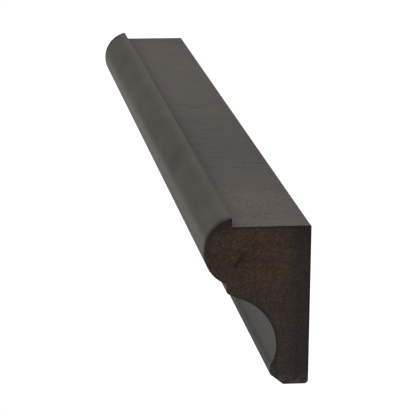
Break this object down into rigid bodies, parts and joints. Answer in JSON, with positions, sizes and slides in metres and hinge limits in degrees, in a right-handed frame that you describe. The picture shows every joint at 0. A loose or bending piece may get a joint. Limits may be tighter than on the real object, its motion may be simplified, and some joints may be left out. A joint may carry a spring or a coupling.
{
  "type": "light rail moulding",
  "caption": "Straight length of painted wood light rail moulding with a flat top, small lip, large bead, cove and chamfered foot; fixed under wall cabinets to hide the lights.",
  "frame": {"origin": "middle of the flat back face, which the stock lies on, at half its length and half its height", "axes": "+X from the foot to the lip, +Y along the stock, +Z out from the back face, up as it lies"},
  "size_m": [0.0508, 0.3048, 0.0315],
  "materials": {
    "wood": "satin dark grey-brown paint, bare dark end grain at the sawn ends"
  },
  "bodies": {
    "root": {"light_rail": "wood"}
  },
  "joints": []
}
